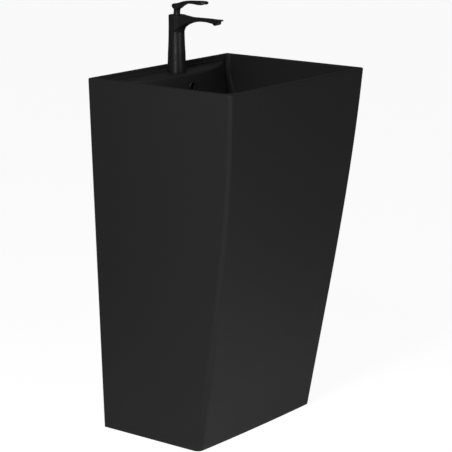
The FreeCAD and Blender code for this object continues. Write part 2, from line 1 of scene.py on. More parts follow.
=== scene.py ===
"""Looks for a freestanding ceramic washbasin with its mixer tap, waste and bottle trap.

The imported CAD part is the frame: metres, +Z up, front of the basin towards -Y, wall at +Y.
Shapes are worked out in millimetres and brought into the frame at the end.
"""

import json
import math

import bmesh
import bpy
import numpy as np
from mathutils import Matrix, Vector


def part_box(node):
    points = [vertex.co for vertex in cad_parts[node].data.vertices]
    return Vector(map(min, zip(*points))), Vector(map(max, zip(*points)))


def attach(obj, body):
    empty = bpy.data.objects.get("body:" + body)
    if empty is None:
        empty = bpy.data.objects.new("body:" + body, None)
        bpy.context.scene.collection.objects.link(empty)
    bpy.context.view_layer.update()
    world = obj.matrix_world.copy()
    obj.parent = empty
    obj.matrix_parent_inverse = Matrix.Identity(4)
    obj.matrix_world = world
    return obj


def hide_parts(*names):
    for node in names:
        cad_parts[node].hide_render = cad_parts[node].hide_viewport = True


MM = 0.001

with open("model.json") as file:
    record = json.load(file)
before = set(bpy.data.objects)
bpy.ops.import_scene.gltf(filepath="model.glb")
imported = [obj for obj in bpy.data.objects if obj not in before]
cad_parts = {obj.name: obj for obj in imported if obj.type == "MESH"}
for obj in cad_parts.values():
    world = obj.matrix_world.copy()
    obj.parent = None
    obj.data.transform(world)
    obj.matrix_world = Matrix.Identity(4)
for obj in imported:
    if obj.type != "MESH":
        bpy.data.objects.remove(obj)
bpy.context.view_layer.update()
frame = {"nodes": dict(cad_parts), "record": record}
nodes = frame["nodes"]

# ------------------------------------------------------------------ driving sizes, in millimetres
low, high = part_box("basin_body")
BACK = high.y / MM                       # the flat back, against the wall
RIM = high.z / MM
TOP_HALF = high.x / MM
TOP_DEPTH = (high.y - low.y) / MM
FRONT_CROWN = 3.0
BASE_HALF = 222.5
BASE_DEPTH = 290.0
SIDE_WAIST = 6.0                         # how far the front edges draw in at mid height
FRONT_BELLY = 13.5                       # how far the front bows out at mid height
FRONT_SWING = 2.7                        # skews that bow towards the upper half
EDGE_BASE, EDGE_TOP = 16.0, 7.0          # radius of the front vertical edges, floor and rim
EDGE_BACK = 2.5
WALL = 12.0

RIM_WIDTH = 12.0
DECK = RIM - 12.0
RECESS_FRONT_CORNER, RECESS_BACK_CORNER = 28.0, 10.0
SHELF_REACH, SHELF_RADIUS = 95.0, 368.0
WASTE = 215.0                            # the waste's axis, from the back
SEAT = DECK - 132.0
SEAT_RADIUS, WASTE_HOLE = 34.0, 23.0
CAVITY_TOP = 684.0

TAP = 50.0                               # the tap's axis, from the back
TAP_TOP = 135.3                          # the tap body's flat top, above the deck
PIVOT = 123.3
AERATOR_REACH, AERATOR_RISE, AERATOR_TILT = 121.7, 120.9, 15.0
# How far the tap body and the lever shown here stand proud of the CAD castings. For looks only: it is no
# real thickness, and keeps thin dark parts from looking too thin against a bright floor.
GROWTH = 0.4
OVERFLOW_FALL = 30.5                     # the overflow's axis, below the deck
OVERFLOW_HOLE = 9.2
CHAMBER_FLOOR, DECK_THICKNESS = 600, 14  # the chamber under the deck, where the tap is fixed
TAP_HOLE = 17.5
BOLT_HOLE, BOLT_SPREAD, BOLT_RISE = 6, 140, 755
# the overflow's duct: half width, reach below the seat, and height of its foot
DUCT_HALF, DUCT_DEPTH, DUCT_HEIGHT = 11, 14, 7


# ------------------------------------------------------------------ materials

class Value:
    """A socket in a node tree. Arithmetic on it adds Math nodes."""

    def __init__(self, tree, socket):
        self.tree, self.socket = tree, socket

    def node(self, kind, settings=None, output=0, **sockets):
        return add_node(self.tree, kind, settings, output, **sockets)

    def maths(self, operation, first, second):
        return add_node(self.tree, "ShaderNodeMath", {"operation": operation}, 0, _0=first, _1=second)

    def __add__(self, other):
        return self.maths("ADD", self, other)

    __radd__ = __add__

    def __mul__(self, other):
        return self.maths("MULTIPLY", self, other)

    __rmul__ = __mul__


def add_node(tree, kind, settings=None, output=0, **sockets):
    """Adds a node: its settings first, then the values or links of its sockets. _0 is socket number 0."""
    node = tree.nodes.new(kind)
    for name, setting in (settings or {}).items():
        setattr(node, name, setting)
    for name, value in sockets.items():
        key = int(name[1:]) if name[0] == "_" else name.replace("_", " ")
        if isinstance(value, Value):
            tree.links.new(value.socket, node.inputs[key])
        else:
            node.inputs[key].default_value = value
    return Value(tree, node.outputs[output])


def new_material(name):
    material = bpy.data.materials.new(name)
    material.use_nodes = True
    tree = material.node_tree
    tree.nodes.clear()
    place = add_node(tree, "ShaderNodeTexCoord", output="Object")
    return material, tree, place


def close_material(tree, **sockets):
    shader = add_node(tree, "ShaderNodeBsdfPrincipled", None, 0, **sockets)
    out = tree.nodes.new("ShaderNodeOutputMaterial")
    tree.links.new(shader.socket, out.inputs["Surface"])


def noise(place, scale, detail=3.0):
    return place.node("ShaderNodeTexNoise", None, "Fac", Vector=place, Scale=scale, Detail=detail)


def shades(mask, dark, light):
    """A colour between dark and light, by a mask from 0 to 1."""
    return mask.node("ShaderNodeMix", {"data_type": "RGBA"}, 2, _0=mask, _6=(*dark, 1), _7=(*light, 1))


def bump(height, strength, distance):
    return height.node("ShaderNodeBump", None, 0, Height=height, Strength=strength, Distance=distance)


def glaze():
    """Satin black glaze: slow waves from the pour, fine orange peel, and a hint of uneven gloss."""
    material, tree, place = new_material("satin black glaze")
    slow, fine = noise(place, 7.0, 2.0), noise(place, 260.0, 2.0)
    peel = bump(slow * 0.8 + fine * 0.05, 0.12, 0.001)
    close_material(
        tree, Base_Color=shades(noise(place, 3.0), (0.0245, 0.0245, 0.026), (0.028, 0.028, 0.0295)),
        Roughness=0.40 + noise(place, 18.0) * 0.06, Normal=peel, Specular_IOR_Level=0.2)
    return material


def lacquer():
    """Satin black lacquer on metal, with fine powder texture."""
    material, tree, place = new_material("satin black lacquer")
    grain = noise(place, 1400.0, 2.0)
    close_material(
        tree, Base_Color=shades(noise(place, 40.0), (0.012, 0.012, 0.013), (0.016, 0.016, 0.017)),
        Roughness=0.35 + noise(place, 90.0) * 0.06, Normal=bump(grain, 0.05, 0.0002), Specular_IOR_Level=0.4)
    return material


def metal(name, dark, light, rough, spread, grain_scale):
    """Bare or plated metal with turning marks round the upright axis."""
    material, tree, place = new_material(name)
    stretched = place.node("ShaderNodeMapping", None, 0, Vector=place, Scale=(1, 1, 40))
    marks = noise(stretched, grain_scale, 2.0)
    stain = noise(place, 45.0, 4.0)
    close_material(
        tree, Base_Color=shades(stain, dark, light), Metallic=1.0,
        Roughness=rough + marks * spread, Normal=bump(marks, 0.04, 0.0002))
    return material


def rubber():
    material, tree, place = new_material("black rubber")
    close_material(
        tree, Base_Color=shades(noise(place, 120.0), (0.018, 0.018, 0.018), (0.035, 0.034, 0.033)),
        Roughness=0.62 + noise(place, 300.0) * 0.15, Normal=bump(noise(place, 900.0), 0.15, 0.0003))
    return material


def plastic(name, dark, light):
    material, tree, place = new_material(name)
    close_material(
        tree, Base_Color=shades(noise(place, 60.0), dark, light),
        Roughness=0.38 + noise(place, 200.0) * 0.1, Normal=bump(noise(place, 1500.0), 0.08, 0.0002))
    return material


FINISHES = {
    "black_glaze": glaze(),
    "black_metal": lacquer(),
    "bare_brass": metal("turned brass", (0.46, 0.30, 0.11), (0.62, 0.44, 0.18), 0.24, 0.16, 30.0),
    "steel": metal("zinc plated steel", (0.42, 0.43, 0.45), (0.60, 0.61, 0.62), 0.28, 0.18, 34.0),
    "chrome": metal("chrome plate", (0.66, 0.67, 0.69), (0.78, 0.79, 0.80), 0.06, 0.06, 24.0),
    "rubber": rubber(),
    "white_plastic": plastic("white nylon", (0.70, 0.70, 0.67), (0.80, 0.80, 0.77)),
    "grey_plastic": plastic("grey acetal", (0.20, 0.21, 0.22), (0.27, 0.28, 0.30)),
    "disc_ceramic": plastic("lapped ceramic", (0.76, 0.74, 0.68), (0.86, 0.84, 0.78)),
}
SLOT_OF = {part["node"]: part["material_slot"] for part in frame["record"]["subparts"]}


def paint(piece, slot):
    piece.data.materials.clear()
    piece.data.materials.append(FINISHES[slot])


# ------------------------------------------------------------------ mesh helpers

def new_piece(name, points, faces, to_frame=None):
    """A mesh object from points in millimetres. to_frame turns and moves them to their place."""
    mesh = bpy.data.meshes.new(name)
    mesh.from_pydata([tuple(p) for p in points], [], [tuple(int(i) for i in f) for f in faces])
    if to_frame is not None:
        mesh.transform(to_frame)
    mesh.transform(Matrix.Scale(MM, 4))
    mesh.validate()
    piece = bpy.data.objects.new(name, mesh)
    bpy.context.scene.collection.objects.link(piece)
    return piece


def tidy(piece, sharp=38.0):
    """Points the faces outwards and shades smooth up to the sharp angle, in degrees."""
    shell = bmesh.new()
    shell.from_mesh(piece.data)
    bmesh.ops.recalc_face_normals(shell, faces=shell.faces)
    shell.to_mesh(piece.data)
    shell.free()
    piece.data.shade_smooth()
    piece.data.set_sharp_from_angle(angle=math.radians(sharp))
    return piece


def cut(piece, cutters):
    """Takes each cutter's shape out of the piece, and removes the cutter."""
    for cutter in cutters:
        tidy(cutter)
        modifier = piece.modifiers.new("cut", "BOOLEAN")
        modifier.operation, modifier.solver, modifier.object = "DIFFERENCE", "EXACT", cutter
        depsgraph = bpy.context.evaluated_depsgraph_get()
        cut_mesh = bpy.data.meshes.new_from_object(piece.evaluated_get(depsgraph))
        piece.modifiers.clear()
        piece.data = cut_mesh
        bpy.data.objects.remove(cutter)


def lathe(name, profile, to_frame, steps=96):
    """Turns a closed outline of (radius, height) round the local Z axis. Points on the axis become poles."""
    points, rows = [], []
    for radius, rise in profile:
        if radius < 1e-6:
            rows.append([len(points)] * steps)
            points.append((0, 0, rise))
        else:
            rows.append(list(range(len(points), len(points) + steps)))
            points += [(radius * math.cos(a), radius * math.sin(a), rise)
                       for a in (2 * math.pi * k / steps for k in range(steps))]
    faces = []
    for first, second in zip(rows, rows[1:] + rows[:1]):
        for k in range(steps):
            corners = [first[k], first[(k + 1) % steps], second[(k + 1) % steps], second[k]]
            face = [c for n, c in enumerate(corners) if c not in corners[:n]]
            if len(face) > 2:
                faces.append(face)
    return tidy(new_piece(name, points, faces, to_frame))


def softened(corners, steps=5):
    """An outline with its corners rounded: each corner is (x, y) or (x, y, radius)."""
    outline = []
    count = len(corners)
    for k, corner in enumerate(corners):
        here = np.array(corner[:2], float)
        if len(corner) < 3:
            outline.append(tuple(here))
            continue
        to_last = np.array(corners[k - 1][:2], float) - here
        to_next = np.array(corners[(k + 1) % count][:2], float) - here
        to_last /= np.linalg.norm(to_last)
        to_next /= np.linalg.norm(to_next)
        half_angle = math.acos(np.clip(to_last @ to_next, -1, 1)) / 2
        start = here + to_last * corner[2] / math.tan(half_angle)
        end = here + to_next * corner[2] / math.tan(half_angle)
        middle = (to_last + to_next) / np.linalg.norm(to_last + to_next)
        centre = here + middle * corner[2] / math.sin(half_angle)
        for step in range(steps + 1):
            share = step / steps
            spoke = ((start - centre) * math.sin((1 - share) * (math.pi / 2 - half_angle))
                     + (end - centre) * math.sin(share * (math.pi / 2 - half_angle)))
            length = np.linalg.norm(spoke)
            outline.append(tuple(centre + spoke / length * corner[2]))
    return outline


def prism(name, outline, low, high, to_frame):
    """A closed outline in the local XY plane, drawn up from low to high."""
    count = len(outline)
    points = [(x, y, z) for z in (low, high) for x, y in outline]
    sides = [(k, (k + 1) % count, count + (k + 1) % count, count + k) for k in range(count)]
    ends = [tuple(range(count)), tuple(range(count, 2 * count))]
    return tidy(new_piece(name, points, sides + ends, to_frame))


def disc_outline(radius, steps=64, centre=(0, 0)):
    return [(centre[0] + radius * math.cos(2 * math.pi * k / steps),
             centre[1] + radius * math.sin(2 * math.pi * k / steps)) for k in range(steps)]


# local y runs from the back to the front
AT_BACK = Matrix.Translation((0, BACK, 0)) @ Matrix.Scale(-1, 4, (0, 1, 0))
AT_TAP = Matrix.Translation((0, BACK - TAP, DECK))
AT_WASTE = Matrix.Translation((0, BACK - WASTE, SEAT))
# local z runs from the back to the front
FROM_BACK = Matrix.Translation((0, BACK, 0)) @ Matrix.Rotation(math.radians(90), 4, "X")
AT_AERATOR = (Matrix.Translation((0, BACK - TAP - AERATOR_REACH, DECK + AERATOR_RISE))
              @ Matrix.Rotation(math.radians(-AERATOR_TILT), 4, "X"))


# ------------------------------------------------------------------ the ceramic

BACK_STEPS, CORNER_STEPS, SIDE_STEPS, EDGE_STEPS, FRONT_STEPS = 26, 6, 40, 10, 26


def run(start, end, steps):
    """Points from start towards end, without the end itself."""
    share = np.arange(steps)[:, None] / steps
    return np.array(start, float) * (1 - share) + np.array(end, float) * share


def sweep(centre, radius, start, end, steps):
    """Points on an arc, angles in radians from +x towards the front, without the last."""
    angle = start + (end - start) * np.arange(steps) / steps
    return np.stack([centre[0] + radius * np.cos(angle), centre[1] + radius * np.sin(angle)], 1)


def whole(half, last):
    """Mirrors the right-hand half of a plan. It runs from the back's middle to last, the front's middle."""
    left = half[1:][::-1] * np.array([-1, 1])
    return np.concatenate([half, np.array([last], float), left])


def outer_plan(height, inset):
    """Plan of the outside at a height: (x, distance from the back)."""
    part = height / RIM
    bulge = 4 * part * (1 - part)
    back_half = BASE_HALF + (TOP_HALF - BASE_HALF) * part - inset
    front_half = back_half - SIDE_WAIST * bulge
    depth = (BASE_DEPTH + (TOP_DEPTH - FRONT_CROWN - BASE_DEPTH) * part + FRONT_BELLY * bulge
             + 2 * FRONT_SWING * bulge * (2 * part - 1) - inset)
    edge = max(EDGE_BASE + (EDGE_TOP - EDGE_BASE) * part - inset, 1.5)
    back_edge = max(EDGE_BACK - inset, 0.8) if inset < WALL else 8.0
    chord = front_half - edge
    bow_radius = (chord ** 2 + FRONT_CROWN ** 2) / (2 * FRONT_CROWN)
    bow_angle = math.asin(chord / bow_radius)
    half = np.concatenate([
        run((0, inset), (back_half - back_edge, inset), BACK_STEPS),
        sweep((back_half - back_edge, inset + back_edge), back_edge, -math.pi / 2, 0, CORNER_STEPS),
        run((back_half, inset + back_edge), (front_half, depth - edge), SIDE_STEPS),
        sweep((front_half - edge, depth - edge), edge, 0, math.pi / 2, EDGE_STEPS),
        sweep((0, depth + FRONT_CROWN - bow_radius), bow_radius,
              math.pi / 2 - bow_angle, math.pi / 2, FRONT_STEPS),
    ])
    return whole(half, (0, depth + FRONT_CROWN))


def shelf_touch(reach, half, corner):
    """Where the shelf's arc meets the rounded back corner: the touch point, and the corner's centre."""
    middle = reach - SHELF_RADIUS
    centre_x = half - corner
    centre_v = middle + math.sqrt((SHELF_RADIUS + corner) ** 2 - centre_x ** 2)
    share = SHELF_RADIUS / (SHELF_RADIUS + corner)
    return (centre_x * share, middle + (centre_v - middle) * share), (centre_x, centre_v)


def bowl_plan(inset):
    """Plan of the bowl at an inset from its mouth: bowed back wall, straight sides and front."""
    half, front = TOP_HALF - RIM_WIDTH - inset, TOP_DEPTH - FRONT_CROWN - RIM_WIDTH - inset
    reach = SHELF_REACH + 0.72 * inset
    front_corner, back_corner = RECESS_FRONT_CORNER + 0.75 * inset, RECESS_BACK_CORNER + 0.35 * inset
    touch, centre = shelf_touch(reach, half, back_corner)
    spread = math.asin(touch[0] / SHELF_RADIUS)
    turn_in = math.atan2(touch[1] - centre[1], touch[0] - centre[0])
    half_plan = np.concatenate([
        sweep((0, reach - SHELF_RADIUS), SHELF_RADIUS, math.pi / 2, math.pi / 2 - spread, BACK_STEPS),
        sweep(centre, back_corner, turn_in, 0, CORNER_STEPS),
        run((half, centre[1]), (half, front - front_corner), SIDE_STEPS),
        sweep((half - front_corner, front - front_corner), front_corner, 0, math.pi / 2, EDGE_STEPS),
        run((half - front_corner, front), (0, front), FRONT_STEPS),
    ])
    return whole(half_plan, (0, front))


def recess_plan(outset=0.0):
    """Plan of the recess inside the rim, grown by an outset."""
    half, front = TOP_HALF - RIM_WIDTH + outset, TOP_DEPTH - FRONT_CROWN - RIM_WIDTH + outset
    back = RIM_WIDTH - outset
    front_corner, back_corner = RECESS_FRONT_CORNER + outset, RECESS_BACK_CORNER + outset
    touch, _ = shelf_touch(SHELF_REACH, half - outset, RECESS_BACK_CORNER)
    straight = half - back_corner - touch[0]
    bend = back_corner * math.pi / 2
    along = np.arange(CORNER_STEPS) / CORNER_STEPS * (straight + bend)
    turn = np.clip((along - straight) / back_corner, 0, None) - math.pi / 2
    corner = np.stack([touch[0] + np.minimum(along, straight) + back_corner * np.cos(turn),
                       back + back_corner + back_corner * np.sin(turn)], 1)
    half_plan = np.concatenate([
        run((0, back), (touch[0], back), BACK_STEPS),
        corner,
        run((half, back + back_corner), (half, front - front_corner), SIDE_STEPS),
        sweep((half - front_corner, front - front_corner), front_corner, 0, math.pi / 2, EDGE_STEPS),
        run((half - front_corner, front), (0, front), FRONT_STEPS),
    ])
    return whole(half_plan, (0, front))


def ring_at(plan, height):
    heights = np.full(len(plan), height) if np.isscalar(height) else height
    return np.column_stack([plan, heights])


def quarter(steps, skip_first=True):
    """Angles of a quarter turn, as cosines and sines."""
    angles = [math.pi / 2 * k / steps for k in range(1 if skip_first else 0, steps + 1)]
    return [(math.cos(a), math.sin(a)) for a in angles]


def ceramic_rings():
    """Rings of points: from the waste's hole up the bowl, over the rim, down outside and back up inside."""
    rings = []
    centre = np.array([0.0, WASTE])
    # mouth of the waste hole and the flat seat round it
    lip = 1.5
    spokes = bowl_plan(70) - centre
    spokes /= np.linalg.norm(spokes, axis=1)[:, None]

    def circle(radius):
        return centre + spokes * radius

    rings += [ring_at(circle(WASTE_HOLE + lip * (1 - s)), SEAT - lip * (1 - c))
              for c, s in quarter(3, False)[::-1]]
    rings += [ring_at(circle(r), SEAT) for r in np.linspace(WASTE_HOLE + lip, SEAT_RADIUS, 4)[1:]]
    # floor of the bowl, from the seat out to the foot of the walls
    wall_fall, floor_steps = 126.0, 16
    draft, wall_inset, squareness = 0.06, 64.0, 2.4
    foot_inset = wall_inset + draft * wall_fall
    foot = bowl_plan(foot_inset)
    for k in range(floor_steps - 1, 0, -1):
        share = k / floor_steps
        plan = foot * (1 - share) + circle(SEAT_RADIUS) * share
        rings.append(ring_at(plan, DECK - wall_fall - (DECK - SEAT - wall_fall) * share ** 1.5))
    # walls of the bowl, up to the shelf's edge
    wide = np.linalg.norm(bowl_plan(0) - recess_plan(), axis=1)
    flat = np.clip(wide / 6, 0, 1)
    edge = np.maximum(np.minimum(6, 0.45 * wide), 1.5 * (1 - flat))
    cove = np.maximum(np.minimum(4.5, 0.4 * wide), 0.35)
    slump = 4 * (1 - flat)
    top_fall = slump + edge
    for k in range(30, -1, -1):
        turn = math.pi / 2 * (k / 30) ** 0.8
        fall = wall_fall * math.sin(turn) ** (2 / squareness)
        inset = wall_inset * (1 - math.cos(turn) ** (2 / squareness)) + draft * fall
        falls = np.maximum(fall, 0) + top_fall * (1 - k / 30) ** 4
        rings.append(ring_at(bowl_plan(inset), DECK - np.minimum(falls, wall_fall)))
    # shelf's rounded edge, the deck, and the cove at the back wall of the recess
    brink, root = bowl_plan(0), recess_plan()
    across = brink - root
    share_edge = np.clip(edge / np.maximum(wide, 1e-6), 0, 0.45)
    share_cove = np.clip(cove / np.maximum(wide, 1e-6), 0, 0.4)
    for c, s in quarter(6):
        share = 1 - share_edge * (1 - c)
        rings.append(ring_at(root + across * share[:, None], DECK - slump - edge * (1 - s)))
    for k in range(1, 14):
        share = (1 - share_edge) * (1 - k / 14) + share_cove * k / 14
        rings.append(ring_at(root + across * share[:, None], DECK - slump * (1 - k / 14)))
    for c, s in quarter(6, False):
        share = share_cove * (1 - s)
        rings.append(ring_at(root + across * share[:, None], DECK + cove * (1 - c)))
    # recess wall, the rim's inner edge, its flat and its outer edge
    inner_edge, outer_edge = 2.6, 4.0
    for k in (1, 2, 3):
        height = (DECK + cove) * (1 - k / 3) + (RIM - inner_edge) * k / 3
        rings.append(ring_at(root, height))
    rings += [ring_at(recess_plan(inner_edge * (1 - c)), RIM - inner_edge * (1 - s)) for c, s in quarter(5)]
    flat_in, flat_out = recess_plan(inner_edge), outer_plan(RIM, outer_edge)
    rings += [ring_at(flat_in * (1 - k / 4) + flat_out * k / 4, RIM) for k in (1, 2, 3, 4)]
    for c, s in quarter(6):
        height = RIM - outer_edge * (1 - c)
        rings.append(ring_at(outer_plan(height, outer_edge * (1 - s)), height))
    # outside, down to the floor
    floor_edge, side_rows = 2.0, 56
    for k in range(1, side_rows + 1):
        height = (RIM - outer_edge) * (1 - k / side_rows) + floor_edge * k / side_rows
        rings.append(ring_at(outer_plan(height, 0), height))
    rings += [ring_at(outer_plan(floor_edge * (1 - s), floor_edge * (1 - c)), floor_edge * (1 - s))
              for c, s in quarter(3)]
    # inside of the foot, up to its ceiling and in to the waste hole
    rings += [ring_at(outer_plan(0, inset), 0) for inset in (WALL / 2, WALL - 1)]
    inner_rows, ceiling_round = 26, 10.0
    for k in range(inner_rows + 1):
        height = 1 + (CAVITY_TOP - ceiling_round - 1) * k / inner_rows
        rings.append(ring_at(outer_plan(height, WALL), height))
    rings += [ring_at(outer_plan(CAVITY_TOP, WALL + ceiling_round * (1 - c)),
                      CAVITY_TOP - ceiling_round * (1 - s)) for c, s in quarter(4)]
    ceiling = outer_plan(CAVITY_TOP, WALL + ceiling_round)
    for k in range(1, 11):
        rings.append(ring_at(ceiling * (1 - k / 10) + circle(WASTE_HOLE) * k / 10, CAVITY_TOP))
    rings += [ring_at(circle(WASTE_HOLE), CAVITY_TOP + (SEAT - lip - CAVITY_TOP) * k / 3) for k in (1, 2)]
    return rings


def ceramic():
    rings = ceramic_rings()
    around, count = len(rings[0]), len(rings)
    points = np.concatenate(rings)
    faces = []
    for row in range(count):
        first, second = row * around, ((row + 1) % count) * around
        faces += [(first + k, first + (k + 1) % around, second + (k + 1) % around, second + k)
                  for k in range(around)]
    basin = tidy(new_piece("basin", points, faces, AT_BACK))
    # chamber below the deck, opening in the back, holes for tap, overflow and wall bolts
    chamber_front, chamber_half = 75.0, 185.0
    middle = chamber_front - SHELF_RADIUS + 20
    spread = math.asin(chamber_half / (SHELF_RADIUS - 20))
    bowed = [((SHELF_RADIUS - 20) * math.sin(a), middle + (SHELF_RADIUS - 20) * math.cos(a))
             for a in np.linspace(spread, -spread, 25)]
    chamber = [(-chamber_half, WALL + 0.4), (chamber_half, WALL + 0.4)] + bowed
    opening = softened([(-115, 60, 22), (115, 60, 22), (115, 610, 22), (-115, 610, 22)], 8)
    cutters = [
        prism("cutter", chamber, CHAMBER_FLOOR, DECK - DECK_THICKNESS, AT_BACK),
        prism("cutter", opening, -5, WALL + 6, FROM_BACK),
        prism("cutter", disc_outline(TAP_HOLE), -DECK_THICKNESS - 2, 2, AT_TAP),
    ]
    for side in (-1, 1):
        bolt_hole = disc_outline(BOLT_HOLE, 32, (side * BOLT_SPREAD, BOLT_RISE))
        cutters.append(prism("cutter", bolt_hole, -5, WALL + 6, FROM_BACK))
    overflow = disc_outline(OVERFLOW_HOLE, 48, (0, DECK - OVERFLOW_FALL))
    cutters.append(prism("cutter", overflow, 82, SHELF_REACH + 14, FROM_BACK))
    duct_top, duct_low = DECK - OVERFLOW_FALL + 9, SEAT - DUCT_DEPTH
    duct = [(-DUCT_HALF, duct_top), (DUCT_HALF, duct_top), (DUCT_HALF, duct_low), (-DUCT_HALF, duct_low)]
    cutters.append(prism("cutter", duct, 80, 89, FROM_BACK))
    foot_top = duct_low + DUCT_HEIGHT
    duct_foot = [(-DUCT_HALF, duct_low), (DUCT_HALF, duct_low), (DUCT_HALF, foot_top), (-DUCT_HALF, foot_top)]
    cutters.append(prism("cutter", duct_foot, 88.5, WASTE - 15, FROM_BACK))
    cut(basin, cutters)
    tidy(basin, 32)
    return basin


# ------------------------------------------------------------------ smooth castings: distance fields

def outline_distance(outline, a, b):
    """Signed distance of the grid points (a, b) to a closed outline, negative inside."""
    corners = np.array(outline, float)
    a, b = np.broadcast_arrays(a, b)
    best = np.full(a.shape, 1e9)
    inside = np.zeros(a.shape, bool)
    for (ax, ay), (bx, by) in zip(corners, np.roll(corners, -1, 0)):
        ex, ey = bx - ax, by - ay
        share = np.clip(((a - ax) * ex + (b - ay) * ey) / (ex * ex + ey * ey + 1e-12), 0, 1)
        best = np.minimum(best, (a - ax - ex * share) ** 2 + (b - ay - ey * share) ** 2)
        crosses = (ay > b) != (by > b)
        side = np.where(crosses, ax + (b - ay) * ex / (ey if abs(ey) > 1e-9 else 1e-9), -1e9)
        inside ^= crosses & (a < side)
    return np.where(inside, -1, 1) * np.sqrt(best)


def profile_distance(outline, reach, rise):
    """Distance to a side view's outline, looked up at any reach and rise."""
    step, lowest, highest = 0.5, -30.0, 205
    marks = np.arange(lowest, highest, step)
    table = outline_distance(outline, marks[:, None], marks[None, :])
    reach, rise = np.broadcast_arrays(reach, rise)
    u, v = (reach - lowest) / step, (rise - lowest) / step
    left, low = u.astype(int), v.astype(int)
    u, v = u - left, v - low
    return ((table[left, low] * (1 - u) + table[left + 1, low] * u) * (1 - v)
            + (table[left, low + 1] * (1 - u) + table[left + 1, low + 1] * u) * v)


def soft_union(first, second, blend):
    share = np.clip(0.5 + 0.5 * (second - first) / blend, 0, 1)
    return second * (1 - share) + first * share - blend * share * (1 - share)


def soft_meet(first, second, blend):
    return -soft_union(-first, -second, blend)


def flowing(points, steps=8):
    """A smooth line through the points, ends included."""
    spots = np.array(points, float)
    padded = np.concatenate([[2 * spots[0] - spots[1]], spots, [2 * spots[-1] - spots[-2]]])
    line = []
    for k in range(1, len(padded) - 2):
        p0, p1, p2, p3 = padded[k - 1:k + 3]
        for step in range(steps):
            t = step / steps
            line.append(0.5 * (2 * p1 + (p2 - p0) * t + (2 * p0 - 5 * p1 + 4 * p2 - p3) * t ** 2
                               + (3 * p1 - p0 - 3 * p2 + p3) * t ** 3))
    return [tuple(p) for p in line] + [tuple(spots[-1])]


def skin(name, field, low, pitch, to_frame):
    """A mesh over a gridded field's zero surface: one point per crossed cell, pulled onto the surface."""
    inside = field < 0
    sizes = np.array(field.shape) - 1
    corner_offsets = [(i, j, k) for i in (0, 1) for j in (0, 1) for k in (0, 1)]

    def corner(i, j, k):
        return (slice(i, i + sizes[0]), slice(j, j + sizes[1]), slice(k, k + sizes[2]))

    filled = sum(inside[corner(*o)].astype(int) for o in corner_offsets)
    cells = np.argwhere((filled > 0) & (filled < 8))
    number = np.full(sizes, -1)
    number[tuple(cells.T)] = np.arange(len(cells))
    total, hits = np.zeros((len(cells), 3)), np.zeros(len(cells))
    for a in corner_offsets:
        for axis in range(3):
            if a[axis]:
                continue
            b = tuple(a[n] + (n == axis) for n in range(3))
            start, end = (field[tuple((cells + np.array(o)).T)] for o in (a, b))
            crossed = (start < 0) != (end < 0)
            share = np.where(crossed, start / np.where(crossed, start - end, 1), 0)
            spot = np.array(a) + share[:, None] * (np.arange(3) == axis)
            total += np.where(crossed[:, None], spot, 0)
            hits += crossed
    points = cells + total / hits[:, None]
    slopes = np.gradient(field)
    for _ in range(4):
        here = np.clip(points, 0, np.array(field.shape) - 1.001)
        value, slope = sample(field, here), np.stack([sample(s, here) for s in slopes], 1)
        step = slope * (value / np.maximum((slope ** 2).sum(1), 1e-9))[:, None]
        points = points - 0.7 * np.clip(step, -0.6, 0.6)
    faces = []
    for axis in range(3):
        u, v = (axis + 1) % 3, (axis + 2) % 3
        below = [slice(None)] * 3
        above = [slice(None)] * 3
        below[axis], above[axis] = slice(0, -1), slice(1, None)
        here, there = inside[tuple(below)], inside[tuple(above)]
        for edge in np.argwhere(here != there):
            if edge[u] == 0 or edge[v] == 0 or edge[u] >= sizes[u] or edge[v] >= sizes[v]:
                continue
            quad = []
            for du, dv in ((-1, -1), (0, -1), (0, 0), (-1, 0)):
                cell = edge.copy()
                cell[u] += du
                cell[v] += dv
                quad.append(number[tuple(cell)])
            faces.append(quad)
    return tidy(new_piece(name, np.array(low) + points * pitch, faces, to_frame), 60)


def sample(grid, points):
    """Trilinear values of a grid at points in its own index units."""
    base = np.floor(points).astype(int)
    part = points - base
    total = 0
    for i in (0, 1):
        for j in (0, 1):
            for k in (0, 1):
                weight = (np.abs(1 - i - part[:, 0]) * np.abs(1 - j - part[:, 1])
                          * np.abs(1 - k - part[:, 2]))
                total = total + weight * grid[base[:, 0] + i, base[:, 1] + j, base[:, 2] + k]
    return total


def grid_axes(low, high, pitch):
    return [np.arange(a, b + pitch, pitch) for a, b in zip(low, high)]


